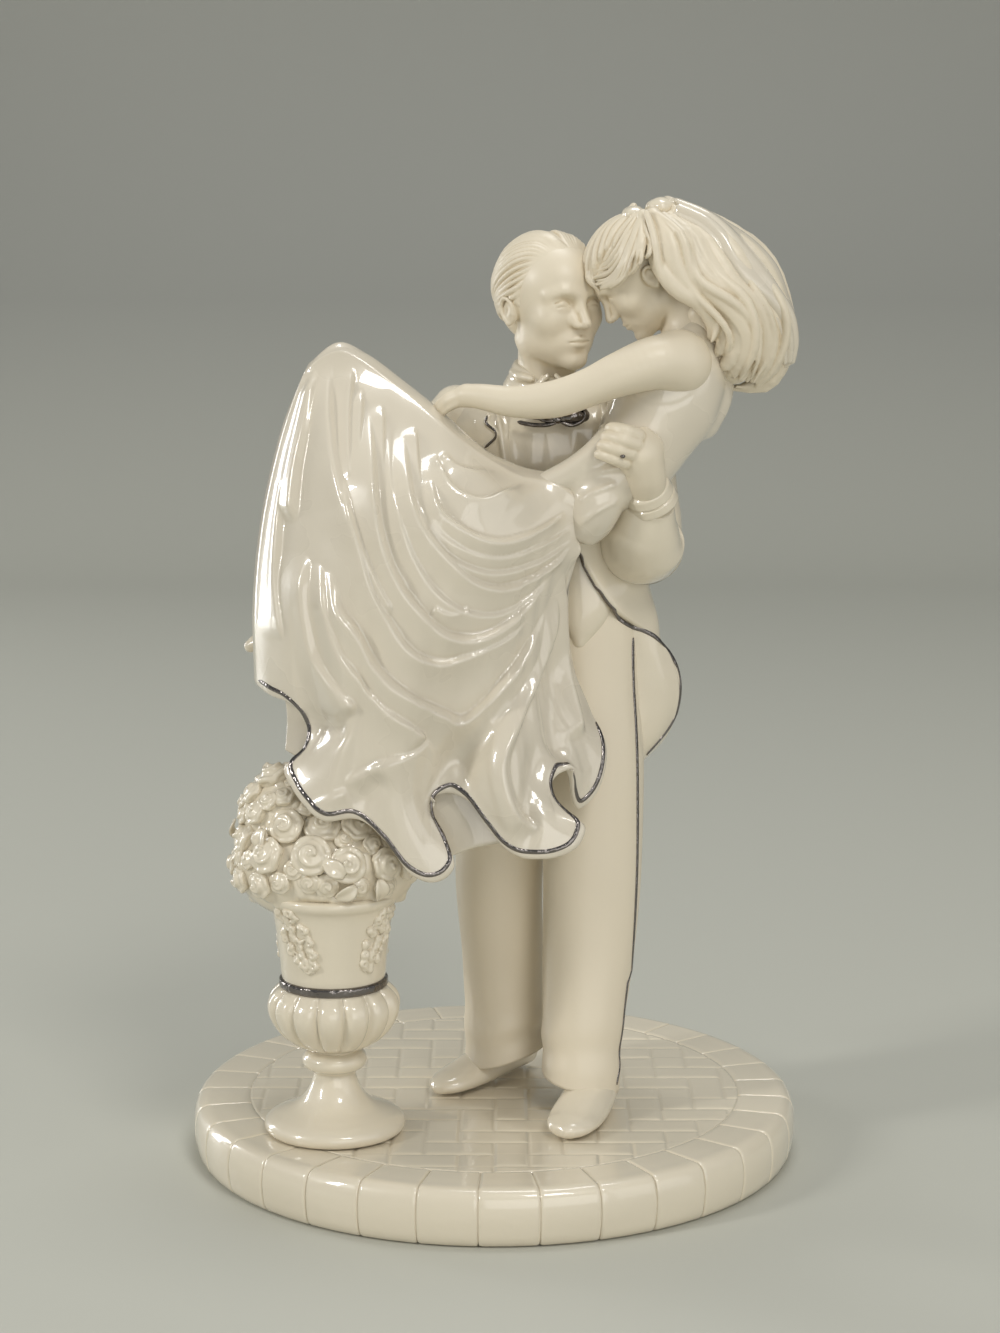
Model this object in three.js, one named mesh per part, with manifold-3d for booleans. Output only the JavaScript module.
// A porcelain wedding cake topper: a groom carries his bride beside an urn of
// roses, on a round base paved in herringbone brick. Lengths are millimetres,
// +Z is up, the origin is the centre of the base's underside and -Y is the front.
import * as THREE from 'three';
import { mergeVertices } from 'three/addons/utils/BufferGeometryUtils.js';
import Module from 'manifold-3d';

const wasm = await Module();
wasm.setup();
const { Vector2, Vector3 } = THREE;

// Driving sizes. Every table below holds shares: hundredths of the groom's height
// for the figures and the urn, and parts of the base's own sizes for the base.
const figureHeight = 158;
const baseDiameter = 112;
const baseHeight = 10.2;
const seam = 0.3;
const clothThickness = 1.6;
const coatThickness = 1.7;
const jointDepth = 0.4;
const pavingThickness = 1.8;
const webThickness = 1.2;

// Sizes that follow from them.
const percent = figureHeight / 100;
const baseRadius = baseDiameter / 2;

const ivory = 0xe9dfcb;
const bisque = 0xe6dac4;
const pearl = 0xefe8da;
const platinum = 0x8a8680;
const glazed = { color: ivory, roughness: 0.22, metalness: 0 };
const satin = { color: bisque, roughness: 0.45, metalness: 0 };
const lustre = { color: pearl, roughness: 0.14, metalness: 0 };
const bright = { color: platinum, roughness: 0.18, metalness: 1 };

const topper = new THREE.Group();

// A point of the figure tables, on top of the base.
const place = ([x, y, z]) => new Vector3(x, y, z).multiplyScalar(percent).add(new Vector3(0, 0, baseHeight));
const blend = (from, to, share) => from + (to - from) * share;
const ease = (from, to, value) => {
  const share = Math.min(1, Math.max(0, (value - from) / (to - from)));
  return share * share * (3 - 2 * share);
};
const bell = (value, middle, spread) => Math.exp(-(((value - middle) / spread) ** 2));

// Closes a stack of rings into one outward-facing skin. A cap is a fan to its
// pole, or, without a pole, a strip from the ring's first `split` points to the rest.
function skin(rings, firstPole, lastPole, split = 0) {
  const count = rings[0].length;
  const points = rings.flat();
  const faces = [];
  const quad = (a, b, c, d) => faces.push(a, b, c, a, c, d);
  for (let row = 0; row + 1 < rings.length; row += 1) {
    for (let k = 0; k < count; k += 1) {
      const next = (k + 1) % count;
      quad(row * count + k, row * count + next, (row + 1) * count + next, (row + 1) * count + k);
    }
  }
  const cap = (start, pole, turned) => {
    const push = (a, b, c) => (turned ? faces.push(a, c, b) : faces.push(a, b, c));
    if (pole) {
      points.push(pole);
      for (let k = 0; k < count; k += 1) push(points.length - 1, start + ((k + 1) % count), start + k);
      return;
    }
    let [near, far] = [0, count - 1];
    while (near < split - 1 || far > split) {
      const nearShare = near < split - 1 ? (near + 1) / (split - 1) : 2;
      const farShare = far > split ? (count - far) / (count - 1 - split) : 2;
      if (nearShare <= farShare) push(start + near, start + far, start + near + 1);
      else push(start + near, start + far, start + far - 1);
      if (nearShare <= farShare) near += 1;
      else far -= 1;
    }
  };
  cap(0, firstPole, false);
  cap((rings.length - 1) * count, lastPole, true);
  let volume = 0;
  for (let k = 0; k < faces.length; k += 3) {
    const [a, b, c] = [points[faces[k]], points[faces[k + 1]], points[faces[k + 2]]];
    volume += a.dot(new Vector3().crossVectors(b, c));
  }
  if (volume < 0) faces.reverse();
  const geometry = new THREE.BufferGeometry();
  geometry.setAttribute('position', new THREE.Float32BufferAttribute(points.flatMap((p) => p.toArray()), 3));
  geometry.setIndex(faces);
  return geometry;
}

// A solid for cutting and joining, and the way back to a geometry.
function solid(geometry) {
  const plain = geometry.clone();
  plain.deleteAttribute('normal');
  plain.deleteAttribute('uv');
  const merged = mergeVertices(plain);
  const vertProperties = new Float32Array(merged.attributes.position.array);
  const triVerts = new Uint32Array(merged.index.array);
  return new wasm.Manifold(new wasm.Mesh({ numProp: 3, vertProperties, triVerts }));
}

function surface(body) {
  const bodies = body.decompose().sort((a, b) => b.volume() - a.volume());
  const mesh = bodies[0].getMesh();
  const geometry = new THREE.BufferGeometry();
  geometry.setAttribute('position', new THREE.Float32BufferAttribute(mesh.vertProperties, 3));
  geometry.setIndex([...mesh.triVerts]);
  return geometry;
}

const join = (geometries) => geometries.map(solid).reduce((body, other) => body.add(other));
const cut = (body, geometries) => geometries.map(solid).reduce((left, other) => left.subtract(other), body);

function add(name, look, geometry, group = topper) {
  const mesh = new THREE.Mesh(geometry, new THREE.MeshStandardMaterial(look));
  geometry.computeVertexNormals();
  mesh.name = name;
  group.add(mesh);
}

// Sweeps a rounded section along a smooth path. Each row holds the middle, half
// the width along `side` and half the depth across it.
function limb(rows, options = {}) {
  const { side = [1, 0, 0], sides = 12, steps = 9, square = 2, domes = [0.7, 0.7], grow = 0, shape } = options;
  const middles = new THREE.CatmullRomCurve3(rows.map(place));
  const halves = new THREE.CatmullRomCurve3(rows.map(([, , , wide, deep = wide]) => new Vector3(wide, deep, 0)));
  const sideways = new Vector3(...side).normalize();
  const ring = (t, along, size) => {
    const forward = middles.getTangent(t);
    const across = sideways.clone().addScaledVector(forward, -sideways.dot(forward)).normalize();
    const through = new Vector3().crossVectors(forward, across);
    const half = halves.getPoint(t).multiplyScalar(percent).addScalar(grow);
    const reach = along * Math.min(half.x, half.y) + (t === 1 ? grow : 0) - (t === 0 ? grow : 0);
    const middle = middles.getPoint(t).addScaledVector(forward, reach);
    return Array.from({ length: sides }, (_, k) => {
      const angle = (2 * Math.PI * k) / sides;
      const [c, s] = [Math.cos(angle), Math.sin(angle)];
      const power = 2 / square;
      const swell = size * (shape ? shape(angle, t) : 1);
      const wide = Math.sign(c) * Math.abs(c) ** power * half.x * swell;
      const deep = Math.sign(s) * Math.abs(s) ** power * half.y * swell;
      return middle.clone().addScaledVector(across, wide).addScaledVector(through, deep);
    });
  };
  const middleOf = (points) => points.reduce((sum, p) => sum.add(p), new Vector3()).divideScalar(points.length);
  const rings = [];
  const domeAngles = [1.05, 0.5];
  const [first, last] = domes;
  if (first) domeAngles.forEach((a) => rings.push(ring(0, -first * Math.sin(a), Math.cos(a))));
  for (let k = 0; k <= steps; k += 1) rings.push(ring(k / steps, 0, 1));
  if (last) [...domeAngles].reverse().forEach((a) => rings.push(ring(1, last * Math.sin(a), Math.cos(a))));
  const firstPole = middleOf(first ? ring(0, -first, 0) : rings[0]);
  const lastPole = middleOf(last ? ring(1, last, 0) : rings[rings.length - 1]);
  return skin(rings, firstPole, lastPole);
}

function ball([x, y, z], [wide, deep, tall], grow = 0, detail = [12, 8]) {
  const geometry = new THREE.SphereGeometry(1, ...detail);
  geometry.scale(wide * percent + grow, tall * percent + grow, deep * percent + grow).rotateX(Math.PI / 2);
  const centre = place([x, y, z]);
  return geometry.translate(centre.x, centre.y, centre.z);
}

function block(low, high) {
  const [from, to] = [place(low), place(high)];
  const size = to.clone().sub(from);
  const middle = from.add(to).multiplyScalar(0.5);
  return new THREE.BoxGeometry(size.x, size.y, size.z).translate(middle.x, middle.y, middle.z);
}

// The base: a ring of rounded bricks round a disc of herringbone paving.
const rimBricks = 33;
const rimProfileShares = [[0.86, 0], [0.98, 0], [1, 0.5], [0.97, 0.95], [0.8, 1]];
const pocketShare = 0.8;
const brickShare = 0.109;
const jointShare = 0.1;

function rimCourse() {
  const stations = [[0, 1], [jointShare / 2, 0], [1 - jointShare / 2, 0]];
  const rings = [];
  for (let brick = 0; brick < rimBricks; brick += 1) {
    for (const [share, dip] of stations) {
      const angle = (2 * Math.PI * (brick + share)) / rimBricks;
      const ring = rimProfileShares.map(([out, up], k) => {
        const carved = k > 1 ? dip * jointDepth : 0;
        const radius = out * baseRadius - (up < 1 ? carved : 0);
        const height = up * baseHeight - (up < 1 ? 0 : carved);
        return new Vector3(radius * Math.cos(angle), radius * Math.sin(angle), height);
      });
      rings.push(ring);
    }
  }
  const pocket = baseHeight - pavingThickness - seam;
  const floors = [pocket, pocket - webThickness];
  return { rings, floors };
}

// The course is closed by the pocket floor above and the recessed underside.
function plinth() {
  const { rings, floors } = rimCourse();
  const [pocket, under] = floors;
  const turned = rimProfileShares.map((_, k) => rings.map((ring) => ring[k]));
  const wall = turned[turned.length - 1].map((p) => new Vector3(p.x, p.y, pocket));
  const lip = turned[0].map((p) => new Vector3(p.x, p.y, under));
  return skin([lip, ...turned, wall], new Vector3(0, 0, under), new Vector3(0, 0, pocket));
}

function paving() {
  const radius = pocketShare * baseRadius - seam;
  const bottom = baseHeight - pavingThickness;
  const disc = (size, from, to) => new THREE.CylinderGeometry(size, size, to - from, 33)
    .rotateX(Math.PI / 2).translate(0, 0, (from + to) / 2);
  const cell = brickShare * baseRadius;
  const gap = cell * jointShare;
  const reach = Math.ceil(radius / cell) + 1;
  const bricks = [];
  for (let row = -reach; row <= reach; row += 1) {
    for (let column = -reach; column <= reach; column += 1) {
      const turn = (((column - row) % 4) + 4) % 4;
      const lying = turn === 0;
      const standing = turn === 3;
      if (!lying && !standing) continue;
      const [wide, tall] = lying ? [2 * cell, cell] : [cell, 2 * cell];
      const brick = new THREE.BoxGeometry(wide - gap, tall - gap, 2 * jointDepth);
      brick.translate(column * cell + wide / 2, row * cell + tall / 2, baseHeight - jointDepth);
      const nearest = Math.hypot(column * cell + wide / 2, row * cell + tall / 2);
      if (nearest < radius + cell) bricks.push(brick);
    }
  }
  const inside = solid(disc(radius - gap / 2, bottom, baseHeight));
  return surface(join(bricks).intersect(inside).add(solid(disc(radius, bottom, baseHeight - jointDepth))));
}

add('base_plinth', glazed, plinth());
add('base_paving', glazed, paving());

// The urn: lathe-turned foot and vase, a bowl of raised lobes between them.
const urnPlaceShares = [-0.508, -0.4176];
const urnMiddle = urnPlaceShares.map((share) => (share * baseRadius) / percent);
const urnLift = seam / percent;
const urnFootShares = [
  [0, 0], [7.6, 0], [7.95, 0.9], [7.3, 1.9], [5.4, 2.8], [3.5, 4.2], [2.35, 6.6],
  [2.6, 7.4], [3.5, 7.9], [3.6, 8.7], [2.9, 9.5], [0, 9.5],
];
const urnBowlShares = [[3.1, 0], [5.2, 0.9], [6.9, 2.9], [7.3, 4.7], [6.9, 6.2], [6.1, 6.9]];
const urnBandShares = [[0, 0], [6.1, 0], [6.1, 1], [0, 1]];
const urnVaseShares = [[0, 0], [5.9, 0], [6.3, 3.8], [6.75, 7], [7.2, 8.4], [7.5, 9], [7.3, 9.4], [0, 9.4]];
const urnLobes = 14;
const lobeDepthShare = 0.09;
const urnStackShares = { foot: urnLift, bowl: 9.8, band: 17, vase: 18.3 };

function turned(profile, up, segments = 22, swell = 0) {
  const points = profile.map(([out, height]) => new Vector2(out ? out * percent + swell : 0, height * percent));
  const centre = place([urnMiddle[0], urnMiddle[1], up]);
  return new THREE.LatheGeometry(points, segments).rotateX(Math.PI / 2).translate(centre.x, centre.y, centre.z);
}

function lobedBowl() {
  const count = urnLobes * 3;
  const centre = place([urnMiddle[0], urnMiddle[1], urnStackShares.bowl]);
  const rings = urnBowlShares.map(([out, up], row) => Array.from({ length: count }, (_, k) => {
    const angle = (2 * Math.PI * k) / count;
    const edge = ease(-0.5, 1, Math.min(row, urnBowlShares.length - 1 - row));
    const valley = k % 3 ? 0 : 1;
    const radius = out * percent * (1 - lobeDepthShare * edge * valley);
    return new Vector3(radius * Math.cos(angle), radius * Math.sin(angle), up * percent).add(centre);
  }));
  const top = urnBowlShares[urnBowlShares.length - 1][1] * percent;
  return skin(rings, centre, centre.clone().add(new Vector3(0, 0, top)));
}

add('urn_foot', glazed, turned(urnFootShares, urnStackShares.foot));
add('urn_bowl', glazed, lobedBowl());
add('urn_band', bright, turned(urnBandShares, urnStackShares.band));
add('urn_vase', glazed, turned(urnVaseShares, urnStackShares.vase));

// Sprays of blossom hang on the vase at four places.
const sprayAngles = [-2.25, -0.75, 0.82, 2.6];
const sprayRowShares = [[6.95, 26.2, 0.5], [6.75, 24.9, 1], [6.55, 23.9, 0.6], [6.4, 22.8, 0.95], [6.2, 21.4, 0.35]];

function spray(angle, grow = 0) {
  const rows = sprayRowShares.map(([out, up, size], k) => {
    const turn = angle + 0.07 * Math.sin(k * 2.1);
    return [urnMiddle[0] + out * Math.cos(turn), urnMiddle[1] + out * Math.sin(turn), up, size, size * 0.75];
  });
  return limb(rows, { side: [-Math.sin(angle), Math.cos(angle), 0], sides: 5, steps: 5, domes: [0, 0], grow });
}

sprayAngles.forEach((angle, index) => {
  const body = cut(solid(spray(angle)), [turned(urnVaseShares, urnStackShares.vase, 22, seam)]);
  add(`urn_spray_${index + 1}`, glazed, surface(body));
});

// The bouquet: a mound of leaves with roses standing on it. A rose's row holds
// the direction it faces from the mound's middle, and its radius.
const moundShares = { offset: [-0.4, 0.2, 28.6], half: [8.2, 7, 7.6] };
const moundMiddle = [urnMiddle[0] + moundShares.offset[0], urnMiddle[1] + moundShares.offset[1], moundShares.offset[2]];
const roseShares = [
  [-0.93, -0.1, 0.36, 2.2], [-0.72, -0.62, 0.28, 2.2], [-0.5, -0.55, 0.68, 2.1], [-0.16, -0.9, 0.36, 2.4],
  [0.36, -0.9, 0.22, 2.2], [0.78, -0.6, 0.16, 2], [0.98, -0.1, 0.12, 1.8], [-0.5, 0, 0.9, 2.2],
  [-0.84, 0.5, 0.2, 2.2], [-0.2, 0.95, 0.3, 2.3], [0.66, 0.72, 0.22, 2], [-0.82, -0.3, 0.72, 1.5],
  [-0.02, -0.66, 0.78, 2.2], [0.45, -0.5, 0.66, 1.9], [-0.28, 0.55, 0.8, 2.2], [0.4, 0.3, 0.85, 2.1],
];
const roseProfileShares = [[0.62, -0.42], [1.04, 0.3], [0.74, 0.28], [0.64, 0.62], [0.36, 0.5]];
const rosePetals = 4;

function rose([dx, dy, dz, size], turn, grow = 0) {
  const facing = new Vector3(dx, dy, dz).normalize();
  const [wide, deep, tall] = moundShares.half;
  const reach = 1 / Math.hypot(facing.x / wide, facing.y / deep, facing.z / tall);
  const pose = new THREE.Quaternion().setFromUnitVectors(new Vector3(0, 0, 1), facing);
  const radius = size * percent;
  const centre = place(moundMiddle).addScaledVector(facing, reach * percent + 0.5 * radius + seam);
  const point = (out, up, angle) => new Vector3(out * Math.cos(angle), out * Math.sin(angle), up)
    .multiplyScalar(radius + grow).applyQuaternion(pose).add(centre);
  const rings = roseProfileShares.map(([out, up], row) => Array.from({ length: 2 * rosePetals }, (_, k) => {
    const angle = (2 * Math.PI * k) / (2 * rosePetals) + turn + row * 0.5;
    const lobe = 1 + 0.07 * (k % 2 ? 1 : -1);
    return point(out * lobe, up, angle);
  }));
  return skin(rings, point(0, -0.45, 0), point(0, 0.8, 0));
}

function mound(grow = 0) {
  return ball(moundMiddle, moundShares.half, grow, [12, 8]);
}

// Each leaf's row holds its direction from the mound's middle.
const leafShares = [
  [-0.9, -0.36, 0.04], [-0.42, -0.84, 0.02], [0.1, -1, 0.05], [0.9, 0.3, 0.1], [0.3, 0.95, 0.3], [-0.55, 0.8, 0.3],
];
const leafReachShares = [0.6, 1.12, 1.3];

function leaf([dx, dy, dz]) {
  const reach = [dx, dy, dz].map((way, k) => way * moundShares.half[k]);
  const [root, belly, tip] = leafReachShares.map((share) => moundMiddle.map((m, k) => m + reach[k] * share));
  const rows = [[...root, 1.1, 0.5], [...belly, 1.4, 0.35], [...tip, 0.35, 0.15]];
  return limb(rows, { side: [dy, -dx, 0], sides: 4, steps: 2, domes: [0, 0] });
}

const bouquetFloor = () => turned(urnVaseShares, urnStackShares.vase, 22, seam).translate(0, 0, seam);
const greens = join([mound(), ...leafShares.map(leaf)]);
const roseTurn = 0.9;
const allRoses = roseShares.map((row, index) => rose(row, index * roseTurn));
const spacing = [...sprayAngles.map((angle) => spray(angle, seam)), bouquetFloor()];
add('bouquet_foliage', glazed, surface(cut(greens, spacing)));
allRoses.forEach((geometry, index) => add(`bouquet_rose_${index + 1}`, glazed, geometry));

// The groom's legs and shoes.
const trouserLeftShares = [
  [9.7, 1.3, 53.5, 5.2, 5.4], [11.3, -0.6, 46.8, 5.1, 5.4], [11.7, -1.9, 40, 4.8, 5.2],
  [11.6, -3.8, 27.4, 4.4, 4.8], [11, -5.1, 17, 4.2, 4.8], [10.4, -6.3, 8.9, 4.2, 5], [10.2, -7, 2.9, 4.2, 5.2],
];
const trouserRightShares = [
  [7.2, 1.9, 53.4, 5.2, 5.3], [4.2, 1.9, 46.3, 5.2, 5.2], [1.8, 1.9, 36.8, 5, 5],
  [0.7, 1.9, 26, 4.8, 4.8], [1.2, 2.5, 14.8, 4.7, 4.8], [1.5, 2.5, 8.7, 4.7, 5], [1.6, 2.5, 3.7, 4.7, 5.2],
];
const legTurn = { left: [0.93, 0.2, 0], right: [0.85, 0.5, 0] };
const trouser = { sides: 12, steps: 9, square: 2.3, domes: [0.3, 0] };
const trouserLeft = (grow = 0) => limb(trouserLeftShares, { ...trouser, side: legTurn.left, grow });
const trouserRight = (grow = 0) => limb(trouserRightShares, { ...trouser, side: legTurn.right, grow });

const shoeLeftShares = [
  [12, -4.5, 1.6, 2.6, 1.5], [11.4, -8.5, 2.2, 2.9, 2], [10, -13, 1.7, 3.1, 1.55],
  [8.6, -17, 1.25, 3, 1.1], [7.9, -18.6, 1.05, 2.3, 0.9],
];
const shoeRightShares = [
  [3, 8.6, 2, 2.6, 1.7], [0.8, 5, 2.5, 2.9, 2.1], [-2.4, 1, 1.8, 3.1, 1.6],
  [-5.2, -2, 1.35, 2.9, 1.1], [-6.2, -3, 1.2, 2.2, 0.9],
];
const shoe = { sides: 10, steps: 5, square: 2.6, domes: [0.5, 0.6] };
const groundShares = [[-40, -40, -10], [40, 40]];
const ground = () => block(groundShares[0], [...groundShares[1], seam / percent]);
const shoeSide = { left: [0.95, 0.3, 0], right: [0.72, -0.7, 0] };

function addLegs() {
  const left = limb(shoeLeftShares, { ...shoe, side: shoeSide.left });
  const right = limb(shoeRightShares, { ...shoe, side: shoeSide.right });
  add('groom_trouser_left', satin, surface(solid(trouserLeft())));
  add('groom_trouser_right', satin, surface(cut(solid(trouserRight()), [trouserLeft(seam)])));
  add('groom_shoe_left', glazed, surface(cut(solid(left), [ground(), trouserLeft(seam)])));
  add('groom_shoe_right', glazed, surface(cut(solid(right), [ground(), trouserRight(seam)])));
}
addLegs();

// His trunk: waistcoat and shirt inside an open tail coat.
const trunkShares = [
  [6.6, 2.5, 82.6, 6, 3.4], [6.6, 2.5, 81.2, 11, 5], [6.8, 1.9, 77.8, 12.2, 6.3], [7.3, 1.9, 72, 11, 6.6],
  [8.3, 1.9, 65.1, 8.9, 6.1], [9, 1.9, 59.3, 8, 5.7], [10, 1.9, 53.4, 8.6, 6],
];
const innerEndShares = [10.2, 1.9, 51.4, 8.6, 6];
const coatEndShare = 65.3;
const legRiseShare = 2.45;
const belowShares = [[-40, -40, 30], [60, 40]];
const below = (level) => block(belowShares[0], [...belowShares[1], level]);
const waistcoatEnd = trouserLeftShares[0][2] + legRiseShare + seam / percent;
const trunkOptions = { sides: 12, square: 2.3, domes: [0.2, 0] };
const trunk = (grow = 0) => limb(trunkShares, { ...trunkOptions, steps: 6, grow });
const inner = (grow = 0) => {
  const thin = coatThickness / percent;
  const rows = [...trunkShares, innerEndShares].map(([x, y, z, wide, deep]) => [x, y, z, wide - thin, deep - thin]);
  return limb(rows, { ...trunkOptions, steps: 7, grow });
};
const openingShares = [
  [6.7, -8, 82.8, 2.2], [6.8, -8, 80, 4.6], [7, -8, 76, 5.2], [7.6, -8, 68, 4.4], [8.6, -8, 60, 4.6], [11, -8, 52, 8.5],
];
const opening = (grow = 0) => limb(openingShares.map(([x, y, z, wide]) => [x, y, z, wide, 9.5]), {
  sides: 4, steps: 5, domes: [0, 0], grow,
});
const vestShares = [[6.7, -5, 83.5, 4.6], [6.9, -5, 77, 4.4], [7.3, -5, 70, 3.2], [7.8, -5, 65.5, 0.9]];
const vest = (grow = 0) => limb(vestShares.map(([x, y, z, wide]) => [x, y, z, wide, 7]), {
  sides: 4, steps: 3, domes: [0, 0], grow,
});
const collarShares = [[6.7, 1.6, 80.6, 4.1, 4.2], [6.5, 1.1, 82.4, 3.9, 4.1], [6.3, 0.6, 84, 3.7, 4]];
const collar = (grow = 0) => limb(collarShares, { sides: 12, steps: 2, domes: [0, 0], grow });

function addTrunk(neck) {
  const coat = cut(solid(trunk()), [inner(seam), opening(), below(coatEndShare), collar(seam), neck(seam)]);
  const shirt = solid(inner()).intersect(solid(vest()));
  const waistcoat = cut(solid(inner()), [vest(seam), collar(seam), neck(seam), below(waistcoatEnd)]);
  add('groom_coat', glazed, surface(coat));
  add('groom_shirt', glazed, surface(cut(shirt, [collar(seam), neck(seam)])));
  add('groom_waistcoat', glazed, surface(waistcoat));
  add('groom_collar', glazed, surface(cut(solid(collar()), [neck(seam)])));
}

// A head: closed sections from the neck to the crown. Each row holds its height,
// half width, front depth and back depth as shares of the head's height.
const headRowShares = [
  [-0.42, 0.24, 0.12, 0.36], [-0.1, 0.235, 0.14, 0.35], [0, 0.24, 0.32, 0.34], [0.06, 0.27, 0.4, 0.35],
  [0.13, 0.295, 0.405, 0.36], [0.19, 0.32, 0.42, 0.37], [0.25, 0.335, 0.42, 0.38], [0.31, 0.345, 0.415, 0.39],
  [0.37, 0.35, 0.415, 0.41], [0.44, 0.355, 0.405, 0.43], [0.5, 0.36, 0.4, 0.44], [0.58, 0.365, 0.42, 0.455],
  [0.74, 0.365, 0.4, 0.47], [0.88, 0.32, 0.32, 0.42], [0.96, 0.22, 0.21, 0.3],
];
const headAngles = [0, 6, 14, 23, 36, 58, 82, 92, 102, 140];
const plainAngles = [0, 26, 52, 78, 104, 130, 156];

// Each soft feature's row: its rise, the angle from the middle of the face and
// its spread in degrees, then its level and spread as shares of the head's height.
const featureShares = [
  [-0.035, 22, 10, 0.5, 0.05], [0.012, 18, 16, 0.585, 0.03], [0.022, 0, 13, 0.245, 0.022],
  [0.022, 0, 13, 0.195, 0.024], [0.02, 0, 16, 0.07, 0.05],
];
const noseShares = { rise: 0.125, spread: 8, root: 0.57, tip: 0.37, foot: 0.3, under: 0.35 };
const earShares = { rise: 0.085, angle: 97, spread: 9, foot: 0.27, low: 0.36, top: 0.6, high: 0.52 };

// How far the face stands out from the plain sections, by angle and height.
function face(angle, up) {
  const a = Math.abs(angle);
  const soft = featureShares.reduce((sum, [rise, turn, spread, level, tall]) => (
    sum + rise * bell(a, turn, spread) * bell(up, level, tall)), 0);
  const ridge = noseShares.rise * bell(a, 0, noseShares.spread);
  const nose = ridge * ease(noseShares.root, noseShares.tip, up) * ease(noseShares.foot, noseShares.under, up);
  const side = earShares.rise * bell(a, earShares.angle, earShares.spread);
  const ear = side * ease(earShares.foot, earShares.low, up) * ease(earShares.top, earShares.high, up);
  return soft + nose + ear;
}

function head({ chin, height, facing, up }, options = {}) {
  const { grow = 0, plain = false, lift = 0 } = options;
  const [forward, upward] = [new Vector3(...facing).normalize(), new Vector3(...up).normalize()];
  const across = new Vector3().crossVectors(forward, upward).normalize();
  const tall = height * percent;
  const origin = place(chin);
  const point = (x, y, z) => origin.clone().addScaledVector(across, x).addScaledVector(forward, y)
    .addScaledVector(upward, z);
  const half = plain ? plainAngles : headAngles;
  const degrees = [...half, 180, ...[...half].reverse().slice(0, -1).map((a) => -a)];
  const rows = headRowShares.filter((_, row) => !plain || row > 10 || row % 3 === 2 || row === 0);
  const rings = rows.map(([share, wide, front, back]) => degrees.map((degree) => {
    const angle = (degree * Math.PI) / 180;
    const relief = plain ? lift : face(degree, share);
    const [c, s] = [Math.cos(angle), Math.sin(angle)];
    const x = (wide + relief * Math.abs(s)) * tall + grow;
    const y = ((c > 0 ? front : back) + relief * Math.abs(c)) * tall + grow;
    return point(x * s, y * c, share * tall);
  }));
  const [low] = rows[0];
  const foot = point(0, -0.1 * tall, low * tall - grow);
  return skin(rings, foot, point(0, -0.04 * tall, (1 + (plain ? lift : 0)) * tall + grow));
}

const groomHeadShares = { chin: [6.6, -1.6, 84.9], height: 15, facing: [0.57, -0.82, 0], up: [-0.03, 0, 1] };
const brideHeadShares = { chin: [19.8, -5.2, 90.6], height: 13.6, facing: [-0.79, -0.03, -0.61], up: [-0.61, 0, 0.79] };
const neckCutShares = [[-20, -20, 60], [30, 20, 81.8]];
const neckCut = () => block(...neckCutShares);
const groomNeck = (grow = 0) => head(groomHeadShares, { grow });
add('groom_head', satin, surface(cut(solid(head(groomHeadShares)), [neckCut()])));
addTrunk(groomNeck);

// His hair: the head's own sections, lifted, behind a slanting hairline.
const hairLiftShare = 0.075;
const slabShares = [4, 4, 3];

// The space above a slanting hairline, in the head's own axes.
function overHairline({ chin, height, facing, up }, { low, lean }) {
  const size = height * percent;
  const [wide, deep, tall] = slabShares.map((share) => share * size);
  const slab = new THREE.BoxGeometry(wide, deep, tall).translate(0, 0, tall / 2).rotateX(-lean);
  const [forward, upward] = [new Vector3(...facing).normalize(), new Vector3(...up).normalize()];
  const across = new Vector3().crossVectors(forward, upward).normalize();
  const frame = new THREE.Matrix4().makeBasis(across, forward, upward).setPosition(place(chin));
  return slab.translate(0, 0, low * size).applyMatrix4(frame);
}

const groomHair = (grow = 0) => head(groomHeadShares, { plain: true, lift: hairLiftShare, grow });
const hairlineShares = { low: 0.5, lean: -0.42 };

function addGroomHair() {
  const cap = solid(groomHair()).intersect(solid(overHairline(groomHeadShares, hairlineShares)));
  add('groom_hair', satin, surface(cut(cap, [head(groomHeadShares, { grow: seam })])));
}
addGroomHair();

// His arms: the left one rises to her back, the right one goes under her knees.
const sleeveLeftShares = [
  [17.2, 2.2, 79.2, 3.6, 4.2], [19.4, 1.8, 74.9, 3.9, 4.3], [19.8, 0, 68.6, 3.9, 4.2], [18.9, -2.5, 65.2, 4, 4],
  [17.9, -5.2, 66.2, 3.7, 3.8], [17.3, -7.9, 69.2, 3.3, 3.4],
];
const sleeveRightShares = [
  [-3.2, 2.6, 79.6, 3.6, 4], [-6, 4, 75.3, 3.9, 4.3], [-7.5, 4.6, 69.4, 3.9, 4.2], [-8.6, 2.5, 66.2, 3.9, 4],
  [-11.4, -1.5, 67, 3.6, 3.8],
];
const sleeve = { side: [0.2, 1, 0], sides: 10, steps: 8, domes: [0.8, 0.2] };
const sleeveLeft = (grow = 0) => limb(sleeveLeftShares, { ...sleeve, grow });
const sleeveRight = (grow = 0) => limb(sleeveRightShares, { ...sleeve, grow });
const cuffShares = [[17.25, -8.9, 70.2, 3, 3], [17.1, -10.6, 72.4, 2.8, 2.7]];
const cuff = (grow = 0) => limb(cuffShares, { side: sleeve.side, steps: 2, domes: [0.1, 0.25], grow });
const palmShares = [
  [17.1, -11.2, 73, 1.6, 1.9], [17, -12.9, 74.6, 1.7, 2.5], [16, -13.9, 76.6, 1.4, 2.6], [14.6, -14.5, 77.6, 1.2, 2.4],
];
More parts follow.
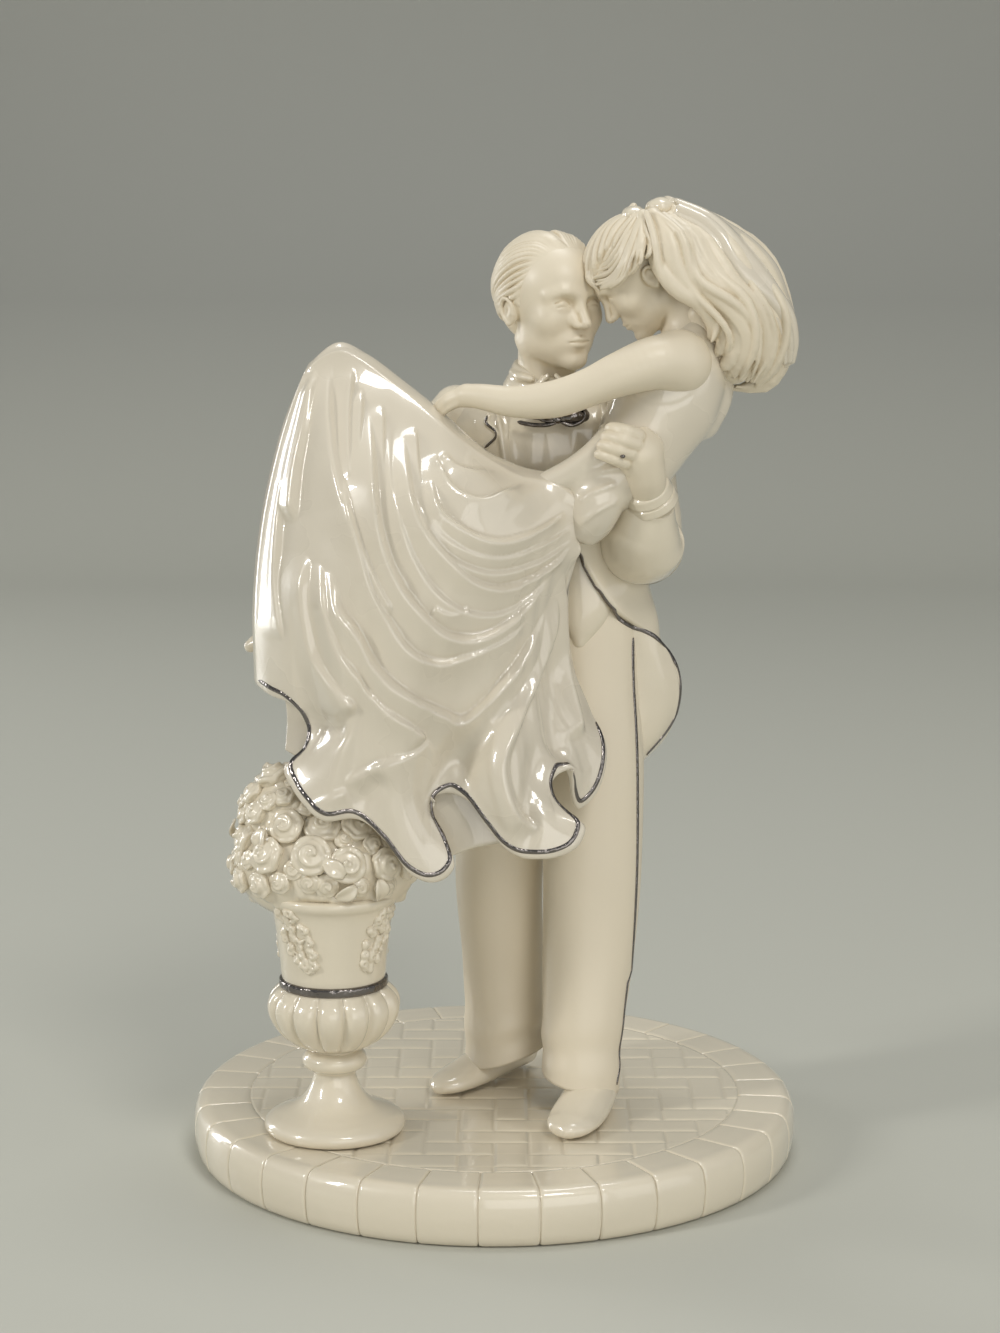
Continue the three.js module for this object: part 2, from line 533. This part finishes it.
const fingerShares = [
  [[15, -14.6, 79.2, 0.8], [13.3, -14.9, 79.5, 0.78], [11.7, -14.3, 79.1, 0.66]],
  [[14.9, -14.9, 78, 0.8], [13, -15.1, 78.2, 0.8], [11.2, -14.3, 77.8, 0.66]],
  [[14.8, -14.8, 76.7, 0.8], [13, -14.9, 76.8, 0.78], [11.4, -14.1, 76.4, 0.64]],
  [[14.9, -14.5, 75.5, 0.74], [13.4, -14.4, 75.5, 0.7], [12, -13.7, 75.1, 0.58]],
];
const finger = { side: [0, 0, 1], sides: 5, steps: 2, domes: [0, 0.9] };
const palm = (grow = 0) => limb(palmShares, { side: [0.6, -0.5, -0.4], sides: 8, steps: 3, grow });
const fingers = (grow = 0) => fingerShares.map((rows) => limb(rows, { ...finger, grow }));

function addGroomArms() {
  const body = [trunk(seam)];
  add('groom_sleeve_left', glazed, surface(cut(solid(sleeveLeft()), body)));
  add('groom_sleeve_right', glazed, surface(cut(solid(sleeveRight()), body)));
}
addGroomArms();

// Bow tie, pocket handkerchief and the two tails of his coat.
const bowShares = [
  [3.9, -4, 79.7, 0.9, 0.5], [5, -4.8, 80.2, 1.1, 0.7], [6.4, -5.2, 80.4, 0.5, 0.5],
  [7.8, -5.2, 80.5, 1.2, 0.75], [9, -4.6, 79.9, 0.9, 0.5],
];
const bow = (grow = 0) => limb(bowShares, { side: [0, 0, 1], sides: 6, steps: 6, grow });
const kerchiefShares = [
  [-0.6, -4.4, 80, 1.1, 0.7], [0, -4.6, 78.6, 1.3, 0.8], [0.2, -4.4, 77.4, 1.1, 0.7], [-0.6, -4, 76.2, 0.6, 0.5],
];
const kerchief = (grow = 0) => limb(kerchiefShares, { sides: 6, steps: 3, domes: [0, 0], grow });
const tailLeftShares = [
  [[9.8, -5.7, 63.8], [17, -0.6, 64.5], [16.6, 6.5, 65], [8.9, 8.2, 65]],
  [[13.2, -4.9, 58.3], [18.2, 1, 60], [16.4, 7.6, 60.5], [9.2, 8.8, 60.5]],
  [[17.2, -1.1, 54.9], [19.5, 2.2, 55.5], [16.8, 8.6, 56], [9.6, 9.4, 56]],
  [[20.9, 1.3, 51.4], [20.4, 4.2, 50.8], [16.8, 8.9, 50], [10, 9.9, 50]],
  [[21.6, 1, 47.5], [20.6, 4.4, 46.5], [16.8, 9, 45.5], [10.4, 10, 45]],
  [[20.3, 1.8, 42.6], [19.4, 4.9, 41.8], [16.2, 8.7, 41], [11.2, 9.9, 40.6]],
  [[16.9, 3.7, 38.6], [16.5, 5.6, 38], [15, 8, 37.6], [12.4, 9.4, 37.6]],
];
const tailRightShares = [
  [[7.6, -5.5, 63.8], [0.4, -0.2, 64.5], [0.8, 6.7, 65], [8.3, 8.4, 65]],
  [[4.4, -4.6, 58.6], [-0.6, 1.4, 60], [1, 7.8, 60.5], [8.1, 9, 60.5]],
  [[-0.8, 1.6, 55], [-2, 3.6, 55.5], [0.8, 9, 56], [7.8, 9.6, 56]],
  [[-3.4, 4.4, 51.4], [-2.8, 6, 50.8], [0.6, 9.3, 50], [7.4, 10.1, 50]],
  [[-3.8, 4.6, 47.5], [-3, 6.2, 46.5], [0.6, 9.4, 45.5], [7, 10.2, 45]],
  [[-2.6, 5, 42.6], [-1.8, 6.6, 41.8], [1.2, 9.2, 41], [6.2, 10.1, 40.6]],
  [[0.6, 6, 38.6], [1.2, 7.2, 38], [2.6, 8.6, 37.6], [5, 9.6, 37.6]],
];
const tailRows = 8;
const tailColumns = 6;

// A sheet of cloth along the smooth surface through a table of points.
function sheet(table, rows, columns, thickness, grow = 0) {
  const grid = Array.from({ length: rows }, (_, row) => Array.from({ length: columns }, (__, column) => {
    const line = table.map((points) => along(points, column / (columns - 1)).toArray());
    return place(along(line, row / (rows - 1)).toArray());
  }));
  const at = (row, column) => {
    const inside = grid[Math.min(rows - 1, Math.max(0, row))];
    return inside[Math.min(columns - 1, Math.max(0, column))];
  };
  const rings = grid.map((points, row) => {
    const sides = points.map((point, column) => {
      const across = at(row, column + 1).clone().sub(at(row, column - 1));
      const down = at(row + 1, column).clone().sub(at(row - 1, column));
      const out = new Vector3().crossVectors(across, down).normalize().multiplyScalar(thickness / 2 + grow);
      const edge = point.clone();
      if (column === 0 || column === columns - 1) edge.addScaledVector(across.normalize(), column ? grow : -grow);
      if (row === 0 || row === rows - 1) edge.addScaledVector(down.normalize(), row ? grow : -grow);
      return [edge.clone().add(out), edge.sub(out)];
    });
    return [...sides.map(([outer]) => outer), ...sides.map(([, inside]) => inside).reverse()];
  });
  return skin(rings, null, null, columns);
}

const tailLeft = (grow = 0) => sheet(tailLeftShares, tailRows, tailColumns, coatThickness, grow);
const tailRight = (grow = 0) => sheet(tailRightShares, tailRows, tailColumns, coatThickness, grow);

function addTrimmings() {
  const chest = [trunk(seam), inner(seam), collar(seam), groomNeck(seam)];
  const rump = [inner(seam), trouserLeft(seam), trouserRight(seam), sleeveLeft(seam), sleeveRight(seam)];
  add('groom_bow_tie', bright, surface(cut(solid(bow()), chest)));
  add('groom_handkerchief', glazed, surface(cut(solid(kerchief()), chest)));
  add('groom_coat_tail_left', glazed, surface(cut(solid(tailLeft()), rump)));
  add('groom_coat_tail_right', glazed, surface(cut(solid(tailRight()), [...rump, tailLeft(seam)])));
}
addTrimmings();

// The bride's bodice and arms.
const bodiceShares = [
  [9.6, -8.8, 65.6, 5, 4.2], [11.8, -8.8, 68.4, 5.6, 4.4], [13.3, -8.6, 71.8, 5.3, 4.2], [15, -8.4, 75.2, 5.4, 4.2],
  [16.8, -8, 78.6, 6.1, 4.6], [18.8, -7.4, 82, 6.4, 5.2], [20.9, -6.8, 85, 5, 5.4], [21.8, -6.2, 87, 2.8, 3.8],
];
const bodiceOptions = { side: [0.86, 0, -0.5], sides: 12, steps: 8, domes: [0.4, 0.4] };
const bodice = (grow = 0) => limb(bodiceShares, { ...bodiceOptions, grow });
const armLeftShares = [
  [21.6, -11, 85.8, 3.1], [17.6, -12.5, 86.2, 3], [13.7, -13.1, 85.1, 2.6], [9.9, -13.1, 83.6, 2.4],
  [6.7, -12.5, 82.6, 2.35], [2.3, -11.4, 81.9, 2.1], [-1.5, -10.1, 82, 1.6], [-3.3, -9, 82, 1.4],
];
const handLeftShares = [
  [-2.6, -9.4, 82, 1.2, 1.5], [-4.8, -7.6, 81.6, 0.95, 2], [-6.6, -5.6, 80.6, 0.8, 1.9], [-8, -4, 79.4, 0.5, 1.2],
];
const armRightShares = [
  [22.4, -1.6, 84.6, 3], [18.4, 4.6, 84.8, 2.6], [12.4, 8.9, 84, 2.3], [6.6, 10.6, 83, 2.1],
  [0.7, 10.2, 82.2, 1.7], [-2.6, 8.6, 81.2, 1.5], [-5, 7, 80, 1],
];
const arm = { side: [0, 0, 1], sides: 8, domes: [0.9, 0.8] };
const armLeft = (grow = 0) => limb(armLeftShares, { ...arm, steps: 9, grow });
const handLeft = (grow = 0) => limb(handLeftShares, { ...arm, steps: 3, grow });
const armRight = (grow = 0) => limb(armRightShares, { ...arm, steps: 7, grow });

function addBrideArms() {
  const near = [trunk(seam), sleeveLeft(seam), cuff(seam), palm(seam), tailLeft(seam)];
  const man = [trunk(seam), collar(seam), groomNeck(seam), groomHair(seam), sleeveLeft(seam), sleeveRight(seam)];
  add('bride_bodice', lustre, surface(cut(solid(bodice()), near)));
  const held = [...man, bodice(seam)];
  const gripping = cut(join(fingers()), [bodice(seam)]).add(solid(palm()));
  add('groom_cuff_left', glazed, surface(cut(solid(cuff()), [sleeveLeft(seam)])));
  add('groom_hand_left', satin, surface(cut(gripping, [cuff(seam), sleeveLeft(seam)])));
  add('bride_arm_left', satin, surface(cut(join([armLeft(), handLeft()]), [...held, kerchief(seam)])));
  add('bride_arm_right', satin, surface(cut(solid(armRight()), [...held, armLeft(seam)])));
}
addBrideArms();

// The bride's head and hair: a cap on the head and long locks that blow back.
const hairMassShares = [
  [16, -4.6, 99.6, 5.8, 3], [21.4, -4.2, 98.8, 6.4, 3.9], [25.8, -4.4, 95.4, 6.4, 4.5],
  [27.9, -4.9, 90.4, 5.9, 4.4], [27.5, -5.4, 86.2, 4.6, 3],
];
const hairMass = (grow = 0) => limb(hairMassShares, { side: [0, 1, 0], sides: 10, steps: 6, grow });
const frontLockShares = [
  [[14.6, -8.6, 102, 1.2], [12.2, -9.4, 99.6, 1.5], [10.7, -8.6, 97, 1.3], [10.6, -7, 94.8, 0.7]],
  [[15.8, -9.4, 102.2, 1.3], [14, -10.9, 99.4, 1.4], [13, -10.9, 96.6, 1], [13.2, -10.2, 94.2, 0.5]],
  [[18.2, -9, 101.6, 1.5], [19.8, -10.9, 97.6, 1.7], [21.2, -11, 93.2, 1.6], [24, -10.2, 89.4, 1.2]],
  [[20, -7.8, 101.2, 1.6], [23.4, -10.1, 97, 1.9], [25.6, -10.2, 91.6, 1.9], [26.4, -9, 86.6, 1.3]],
];
const lock = { side: [1, 0, 0], sides: 5, steps: 3, domes: [0, 0.7] };
const frontLocks = (grow = 0) => frontLockShares.map((rows) => limb(rows, { ...lock, grow }));
const brideHairlineShares = { low: 0.52, lean: -0.3, lift: 0.085 };
const brideCap = (grow = 0) => head(brideHeadShares, { plain: true, lift: brideHairlineShares.lift, grow });
const brideFace = (grow = 0) => head(brideHeadShares, { grow });

const veilShares = { thickness: 0.9, gap: 0.25 };
const veilWindowShares = [[23.4, -9.4, 84], [40, 3.5, 108]];
const veilWindow = () => block(...veilWindowShares);

function addBrideHead() {
  const near = [groomNeck(seam), groomHair(seam), armLeft(seam), armRight(seam)];
  const neck = cut(solid(brideFace()), [...near, bodice(seam)]);
  add('bride_head', satin, surface(neck));
  const crown = solid(brideCap()).intersect(solid(overHairline(brideHeadShares, brideHairlineShares)));
  const locks = join([hairMass(), ...frontLocks()]).add(crown);
  const taken = [brideFace(seam), ...near, bodice(seam), trunk(seam), sleeveLeft(seam)];
  add('bride_hair', satin, surface(cut(locks, taken)));
  const outer = veilShares.gap * percent + veilShares.thickness * percent;
  const shell = solid(hairMass(outer)).intersect(solid(veilWindow()));
  const hairs = [hairMass(veilShares.gap * percent), ...frontLocks(seam).slice(2)];
  add('bride_veil', lustre, surface(cut(shell, [...hairs, armRight(seam), bodice(seam), brideFace(seam)])));
}
addBrideHead();

const budShares = [[14.2, -6.8, 103.2, 1.5], [16.4, -7.2, 103.7, 1.5], [18.5, -6.6, 103.4, 1.5]];

function addHeadpiece() {
  const buds = budShares.map(([x, y, z, size]) => ball([x, y, z], [size, size, size * 0.85], 0, [8, 5]));
  const outer = veilShares.gap * percent + veilShares.thickness * percent + seam;
  const under = [brideCap(seam), hairMass(seam), ...frontLocks(seam), brideFace(seam)];
  const veil = solid(hairMass(outer)).intersect(solid(veilWindow()));
  add('bride_headpiece', glazed, surface(cut(join(buds), under).subtract(veil)));
}
addHeadpiece();

// The skirt: rows of a closed ring, from the ridge over her lap and knees down to
// the hem. Each row runs along the front from left to right, then back again.
const skirtFrontShares = [
  [[-20.4, -8.6, 86.2], [-17.1, -8.6, 88.5], [-10.3, -9, 84.5], [-3.4, -10, 78.8],
    [2.7, -10.6, 74.9], [7, -11, 74], [9.2, -11.2, 71], [9.2, -11, 66.5]],
  [[-22.9, -10.6, 79.5], [-19, -16.2, 80.5], [-11, -18.2, 77], [-4, -18.2, 72],
    [2, -17.4, 69.4], [6.8, -15.6, 68.6], [9.3, -13.6, 67.2], [9.2, -11.5, 65.5]],
  [[-25.3, -11.6, 69.5], [-20.4, -19, 68], [-12, -20.6, 65], [-4.5, -20.2, 62.5],
    [2, -18.6, 62], [6.5, -16, 63], [8.6, -14, 63.5], [9, -11, 63]],
  [[-26.4, -12.2, 59.5], [-21.6, -19.6, 57], [-14, -21.6, 52], [-5.4, -21, 49],
    [2.4, -19.4, 49], [7, -16.6, 51], [9, -13.6, 54], [9.4, -10, 55]],
];
const skirtBackShares = [
  [[8, -8.4, 66.8], [4.6, -7.4, 71.6], [-3.8, -6, 76.8], [-10.5, -4.6, 82.4], [-16.4, -4.4, 86], [-19.6, -5.4, 84.8]],
  [[7.6, -7.4, 65], [3.4, -5.2, 66], [-4, -2, 70], [-10.4, 0.6, 75], [-16.6, 0.8, 78.6], [-21.6, -3.4, 79]],
  [[7.4, -6, 62], [2.4, -3.4, 61], [-4.6, 0.6, 62], [-11, 3.4, 64.6], [-18, 3, 67], [-24, -3.6, 69]],
  [[7.8, -5, 54], [2, -2.6, 50], [-5, 1.6, 50], [-12, 4.6, 51], [-19.4, 3.8, 54], [-25.2, -4, 58.5]],
  [[8.4, -4.6, 45], [2, -2, 39], [-5.4, 2, 37.4], [-12.6, 5.4, 38.6], [-20, 4.4, 42], [-26, -4.6, 49]],
];
const hemShares = [
  [-26.3, -12.7, 51.1], [-22.7, -17.7, 50], [-20.4, -17.1, 46.9], [-20.8, -17.7, 44.1], [-22.4, -20.3, 43],
  [-20.3, -22.8, 39.6], [-18.3, -23.4, 38.1], [-15, -23.1, 38.2], [-11.8, -23.7, 35.6], [-9.3, -24.1, 32],
  [-6.7, -23.4, 31.4], [-4.6, -20.9, 32.5], [-5.8, -18.4, 35.6], [-6.7, -17.1, 38.9], [-4.8, -17.1, 40.6],
  [-2.4, -19, 39.3], [0, -21.5, 35.9], [2.6, -22.2, 33.8], [7, -20.9, 33.6], [9.4, -17.7, 35], [9, -15.8, 36.8],
  [6.8, -14.6, 38.8], [6.8, -13.9, 41.6], [8.3, -13.9, 42.9], [9.3, -12.7, 40.2], [9.6, -12, 37.5],
  [12, -11.4, 40.3], [12.4, -10.1, 43.9], [11, -8.9, 46.9],
];
const creaseShares = [
  [[-5.1, 76.5], [-3.3, 74], [0.5, 74.4], [4.1, 74.4]],
  [[-8.4, 77.4], [-5.7, 70.8], [-0.1, 68.1], [8, 70.8]],
  [[-11.9, 77.7], [-10.8, 69.3], [-7.2, 64.8], [-1.8, 62.6], [4.1, 64.2], [8.3, 67.2]],
  [[-17.2, 83.3], [-16.1, 74.4], [-12, 66.3], [-8.4, 59.4], [-4, 56.5], [2.3, 59.4], [8.3, 64.8]],
  [[-16.9, 64.8], [-15.2, 57.3], [-10.9, 51.9], [-3.7, 47.5], [2.6, 53], [8.5, 63.6]],
  [[-21.1, 81.2], [-22.2, 73.5], [-21.8, 66.3], [-20.1, 58.5], [-16.9, 51.2]],
  [[7.6, 63.3], [7.6, 55.7], [9.9, 45.7]],
  [[5.6, 60.3], [2.7, 51.2], [-1.9, 43.2]],
];
const creaseHeightShare = 0.95;
const creaseSpreadShare = 1.5;
const creaseEndShares = { top: 0.12, low: 0.8, sink: 0.4 };
const hemSpanShare = 0.14;
const frontColumns = 42;
const backColumns = 10;
const skirtRows = 11;

function along(points, share) {
  return new THREE.CatmullRomCurve3(points.map((p) => new Vector3(...p))).getPoint(share);
}

// The hem by its length, and the same hem with its waves smoothed out.
const hemCurve = new THREE.CatmullRomCurve3(hemShares.map((p) => new Vector3(...p)));
const hemAt = (share) => hemCurve.getPointAt(Math.min(1, Math.max(0, share)));
function calmHem(share) {
  const samples = [-1, -0.67, -0.33, 0, 0.33, 0.67, 1].map((step) => hemAt(share + step * hemSpanShare * Math.min(
    1, share / hemSpanShare, (1 - share) / hemSpanShare,
  )));
  return samples.reduce((sum, p) => sum.add(p), new Vector3()).divideScalar(samples.length);
}

function skirtFront(share, down) {
  const rows = skirtFrontShares.map((row) => along(row, share).toArray());
  const point = along([...rows, calmHem(share).toArray()], down);
  const wave = hemAt(share).sub(calmHem(share));
  return point.addScaledVector(wave, ease(0.5, 1, down) ** 1.3);
}

const skirtBack = (share, down) => along(skirtBackShares.map((row) => along(row, share).toArray()), down);

function crease(x, z) {
  let lift = 0;
  for (const line of creaseShares) {
    for (let k = 0; k + 1 < line.length; k += 1) {
      const [[ax, az], [bx, bz]] = [line[k], line[k + 1]];
      const length = (bx - ax) ** 2 + (bz - az) ** 2;
      const share = Math.min(1, Math.max(0, ((x - ax) * (bx - ax) + (z - az) * (bz - az)) / length));
      const away = Math.hypot(x - blend(ax, bx, share), z - blend(az, bz, share));
      lift = Math.max(lift, bell(away, 0, creaseSpreadShare));
    }
  }
  return lift;
}

function skirtRing(down) {
  const ring = [];
  for (let k = 0; k < frontColumns; k += 1) {
    const point = skirtFront(k / (frontColumns - 1), down);
    const strength = creaseHeightShare * ease(0, creaseEndShares.top, down) * ease(1, creaseEndShares.low, down);
    point.y -= strength * (crease(point.x, point.z) - creaseEndShares.sink);
    ring.push(point);
  }
  for (let k = 0; k < backColumns; k += 1) ring.push(skirtBack(k / (backColumns - 1), down));
  return ring;
}

// The ridge is rounded over by one more ring, drawn in and lifted.
const crestShares = { in: 0.3, lift: 1 };

function skirtCrest() {
  return Array.from({ length: frontColumns + backColumns }, (_, k) => {
    const share = k < frontColumns ? k / (frontColumns - 1) : 1 - (k - frontColumns) / (backColumns - 1);
    const [ahead, behind] = [skirtFront(share, 0), skirtBack(1 - share, 0)];
    const point = k < frontColumns ? ahead.lerp(behind, crestShares.in) : behind.lerp(ahead, crestShares.in);
    return point.setZ(point.z + crestShares.lift);
  });
}

function skirt() {
  const rings = [skirtCrest()];
  for (let row = 0; row <= skirtRows; row += 1) rings.push(skirtRing(row / skirtRows));
  const hem = rings[rings.length - 1];
  const middle = hem.reduce((sum, p) => sum.add(p), new Vector3()).divideScalar(hem.length);
  const thin = clothThickness / percent;
  const inward = hem.map((p) => p.clone().addScaledVector(middle.clone().sub(p).setZ(0).normalize(), thin));
  const lining = inward.map((p) => p.clone().lerp(middle, 0.12).setZ(p.z + 2 * thin));
  const all = [...rings, inward, lining].map((ring) => ring.map((p) => place(p.toArray())));
  return skin(all, null, null, frontColumns);
}

// The toe of her shoe, just past the skirt's left side.
const toeShares = [[-23.6, -5.4, 54.9, 1.3, 1.1], [-26.6, -6.1, 54.4, 1.3, 1.1], [-27.7, -6.4, 54, 0.8, 0.7]];
const toe = (grow = 0) => limb(toeShares, { side: [0, 1, 0], sides: 6, steps: 2, domes: [0, 0.7], grow });
add('bride_shoe', glazed, toe());

function addSkirt() {
  const body = [trunk(seam), inner(seam), trouserLeft(seam), trouserRight(seam), bodice(seam)];
  const arms = [sleeveLeft(seam), sleeveRight(seam), armLeft(seam), handLeft(seam), kerchief(seam)];
  const others = [tailLeft(seam), tailRight(seam), mound(seam), cuff(seam), palm(seam), toe(seam)];
  add('bride_skirt', lustre, surface(cut(solid(skirt()), [...body, ...arms, ...others])));
}
addSkirt();

export default topper;
